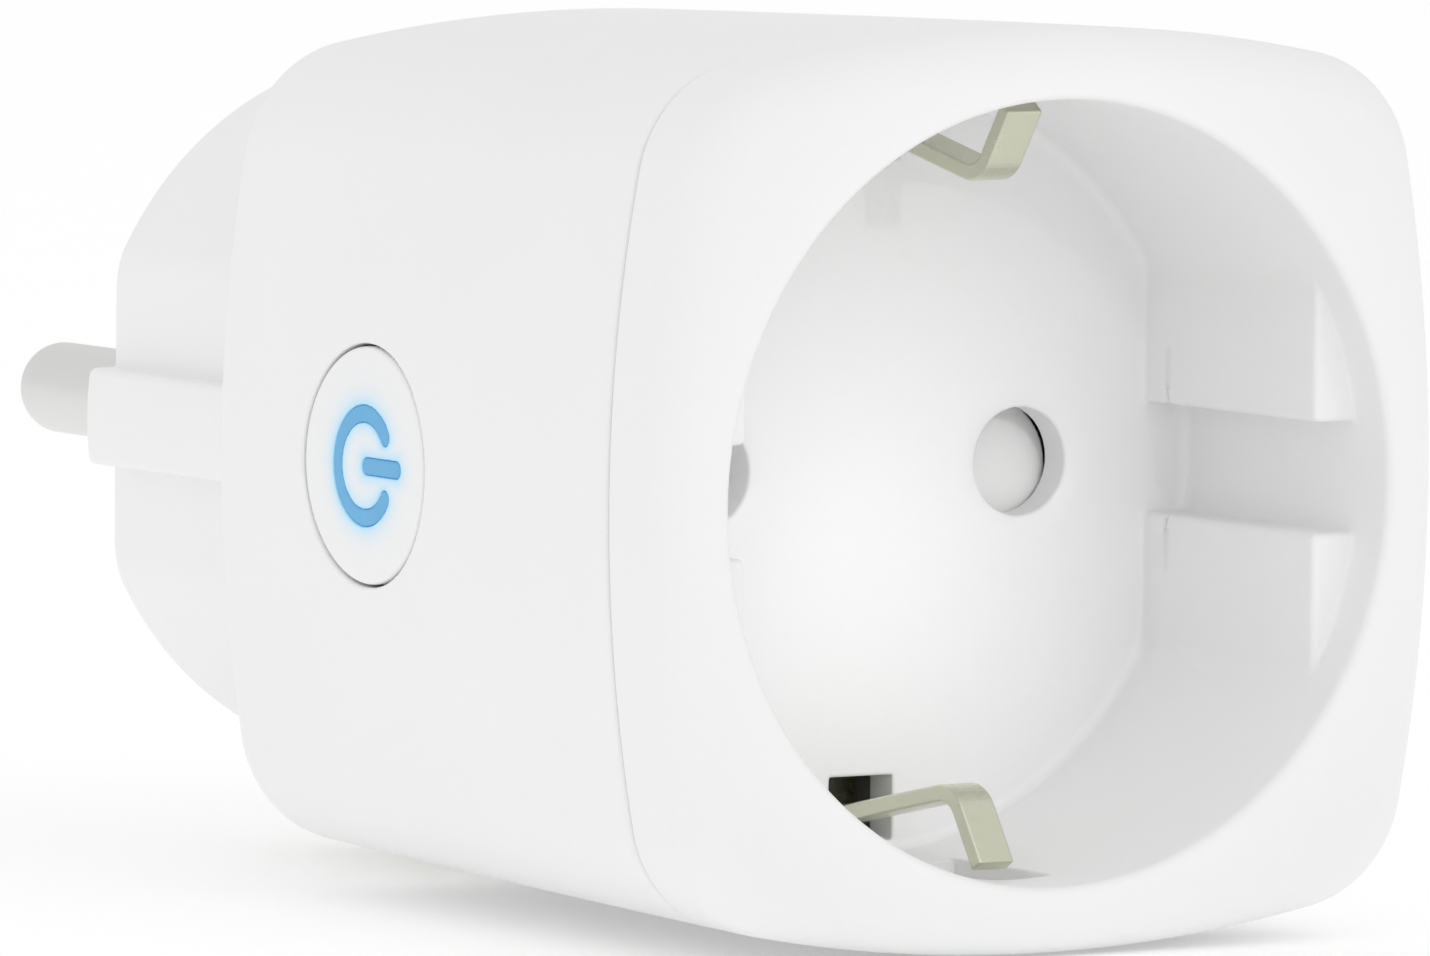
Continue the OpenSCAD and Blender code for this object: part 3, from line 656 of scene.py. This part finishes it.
PLUG_X = mirrored((0, 0), (3.8, 0.4), (4.4, 0.12), (6.6, 0.3), (12.4, 0.2), (16, 0.4), (18.7, 0.15))
PLUG_S = stops((45, 0), (49, 0.2), (61, 0.5), (62.6, 0.25), (64.7, 0.12))
PLUG_Z = mirrored((0, 0), (3, 0.15), (7, 0.4), (12.8, 0.2), (15.3, 0.4), (16.6, 0.15), (18.7, 0.25))
put(surface("plug_shell", plug_base, PLUG_X, PLUG_S, PLUG_Z), "housing", "white_plastic", "plug_base")

CAP_X = stops((BUTTON_X - 0.3, 0), (BUTTON_X + 1, 0.09), (BUTTON_X + 3.1, 0.15))
CAP_S = stops((23, 0), (24.5, 0.14), (35.8, 0.09), (37.3, 0.14))
CAP_Z = mirrored((0, 0), (5.4, 0.09), (7.1, 0.12))
put(surface("button_face", button_cap, CAP_X, CAP_S, CAP_Z), "button", "button_plastic", "button_cap")
SYMBOL_X = stops((BUTTON_X - 0.3, 0), (BUTTON_X + 0.9, 0.07))
SYMBOL_S = stops((26.3, 0), (33.7, 0.07))
put(surface("symbol_inlay", power_symbol, SYMBOL_X, SYMBOL_S, mirrored((0, 0), (3.4, 0.07))),
    "button", "symbol_light", "power_symbol")

SHUTTER_LINES = (mirrored((0, 0), (12.9, 0.15)), stops((20.4, 0), (22.3, 0.1)),
                 mirrored((0, 0), (3.4, 0.15)))
put(surface("shutter_plate", shutter, *SHUTTER_LINES), "shutter_plate", "shutter_plastic", "shutter")

# The lower clip is the upper one turned half round, so it stands on the other side of the middle.
CLIP_LINES = mirrored((0, 0), (0.8, 0.2), (1.2, 0.07))
CLIP_HEIGHTS = stops((14.7, 0), (19.5, 0.09))
for name, turn in (("top", 1), ("bottom", -1)):
    put(surface("spring_clip_" + name,
                lambda x, s, z, turn=turn: earth_clip(x - CLIP_X * turn, s, z * turn),
                CLIP_LINES + CLIP_X * turn, stops((4.4, 0), (22.3, 0.1)),
                CLIP_HEIGHTS if turn > 0 else -CLIP_HEIGHTS[::-1]),
        "clip_" + name, "plated_brass", "earth_clip_" + name)

STRIP_LINES = (mirrored((0, 0), (3.6, 0.4), (4.2, 0.08)),
               stops((43.3, 0), (48.9, 0.12), (62, 0.5), (63.2, 0.1)),
               mirrored((0, 0), (12, 0.4), (16.7, 0.1)))
put(surface("rear_earth_strips", rear_earth, *STRIP_LINES),
    "housing", "plated_brass", "rear_earth_contacts")

# Each pin has a stub inside, a flange against the end wall, and a collar through it.
inner, collar_end = TOTAL - END_WALL, TOTAL - COLLAR_SINK
STUB_R, FLANGE_R, BREAK = 1.5, 3.6, 0.1
PROFILE = [(0, inner - 4), (STUB_R - 0.2, inner - 4), (STUB_R, inner - 3.8), (STUB_R, inner - 1),
           (FLANGE_R - BREAK, inner - 1), (FLANGE_R, inner - 1 + BREAK), (FLANGE_R, inner),
           (COLLAR_R, inner), (COLLAR_R, collar_end - BREAK), (COLLAR_R - BREAK, collar_end),
           (PIN_R, collar_end)]
PROFILE += [(PIN_R, TOTAL + 17 * k / 20) for k in range(20)]
PROFILE += fillet((PIN_R - PIN_ROUND, PIN_TIP - PIN_ROUND), PIN_ROUND, 0, 90, 14) + [(0, PIN_TIP)]
for name, cx in (("line", -PIN_X), ("neutral", PIN_X)):
    put(turned("round_pin_" + name, PROFILE, cx), "housing", "nickel", name + "_pin")

# Every CAD node gets its slot's finish as well; the ones that no piece stands for stay in sight.
shown = {row["node"]: row["material_slot"] for row in frame["record"]["subparts"]}
for node, piece in frame["nodes"].items():
    piece.data.materials.clear()
    piece.data.materials.append(BY_SLOT[shown[node]])


# ---- floor, light and camera ----

OBJECT_MIDDLE = (0, -0.04, 0)           # this section is in metres
FLOOR_GLOW, WORLD_STRENGTH = 0.16, 0.85


def aim(light, place, target):
    """Put a light at place, shining towards target."""
    lamp = bpy.data.objects.new(light.name, light)
    lamp.location = place
    lamp.rotation_euler = (Vector(target) - Vector(place)).to_track_quat("-Z", "Y").to_euler()
    scene.collection.objects.link(lamp)


def soft_box(name, place, size, power):
    light = bpy.data.lights.new(name, "AREA")
    light.shape, light.size, light.energy = "DISK", size, power
    aim(light, place, OBJECT_MIDDLE)


def beam(name, place, target, radius, power):
    """Narrow soft spot whose cone has this radius at its target."""
    light = bpy.data.lights.new(name, "SPOT")
    light.energy, light.shadow_soft_size, light.spot_blend = power, 0.012, 0.9
    light.spot_size = 2 * math.atan(radius / (Vector(target) - Vector(place)).length)
    aim(light, place, target)


scene = bpy.context.scene
scene.view_settings.view_transform = "Standard"

floor_mesh = bmesh.new()
bmesh.ops.create_grid(floor_mesh, x_segments=8, y_segments=8, size=6.0)
floor_data = bpy.data.meshes.new("floor")
floor_mesh.to_mesh(floor_data)
floor_mesh.free()
floor = bpy.data.objects.new("floor", floor_data)
floor.location = (0, 0, -(BODY_W / 2 + 0.1) * MM)
scene.collection.objects.link(floor)
floor_data.materials.append(plastic("floor_white", (0.97, 0.97, 0.97), 0.8, change=0.004,
                                    Emission_Color=(1, 1, 1, 1), Emission_Strength=FLOOR_GLOW))

world = bpy.data.worlds.new("studio")
scene.world = world
world.use_nodes = True
background = world.node_tree.nodes["Background"]
background.inputs["Color"].default_value = (1, 1, 1, 1)
background.inputs["Strength"].default_value = WORLD_STRENGTH
soft_box("front_left", (-0.75, -1.0, 0.35), 0.7, 0.08)
soft_box("front_top", (0.1, -0.85, 0.95), 0.7, 0.55)
# The beams go into the recess, which the room's even light reaches too little.
beam("recess_top", (-0.02, -0.62, 0.17), (0, -0.0463, -0.005), 0.0175, 3.3)
beam("recess_right", (0.2, -0.62, 0.12), (-0.003, -0.0463, -0.003), 0.015, 0.3)
beam("recess_low", (-0.02, -0.58, 0.3), (0, -0.055, -0.013), 0.01, 1.6)

AZIMUTH, ELEVATION, ROLL = math.radians(32.54), math.radians(4.6), math.radians(0.58)
CAMERA_PLACE, FOCAL_LENGTH = (-0.4816, -0.7871, 0.0705), 443.1
forward = Vector((math.sin(AZIMUTH) * math.cos(ELEVATION), math.cos(AZIMUTH) * math.cos(ELEVATION),
                  -math.sin(ELEVATION)))
right = forward.cross(Vector((0, 0, 1))).normalized()
up = right.cross(forward)
right, up = (right * math.cos(ROLL) + up * math.sin(ROLL),
             up * math.cos(ROLL) - right * math.sin(ROLL))
camera_data = bpy.data.cameras.new("camera")
camera_data.lens, camera_data.sensor_width = FOCAL_LENGTH, 36.0
camera_data.clip_start, camera_data.clip_end = 0.05, 50
camera = bpy.data.objects.new("camera", camera_data)
camera.matrix_world = Matrix(
    [(right[k], up[k], -forward[k], CAMERA_PLACE[k]) for k in range(3)] + [(0, 0, 0, 1)])
scene.collection.objects.link(camera)
scene.camera = camera
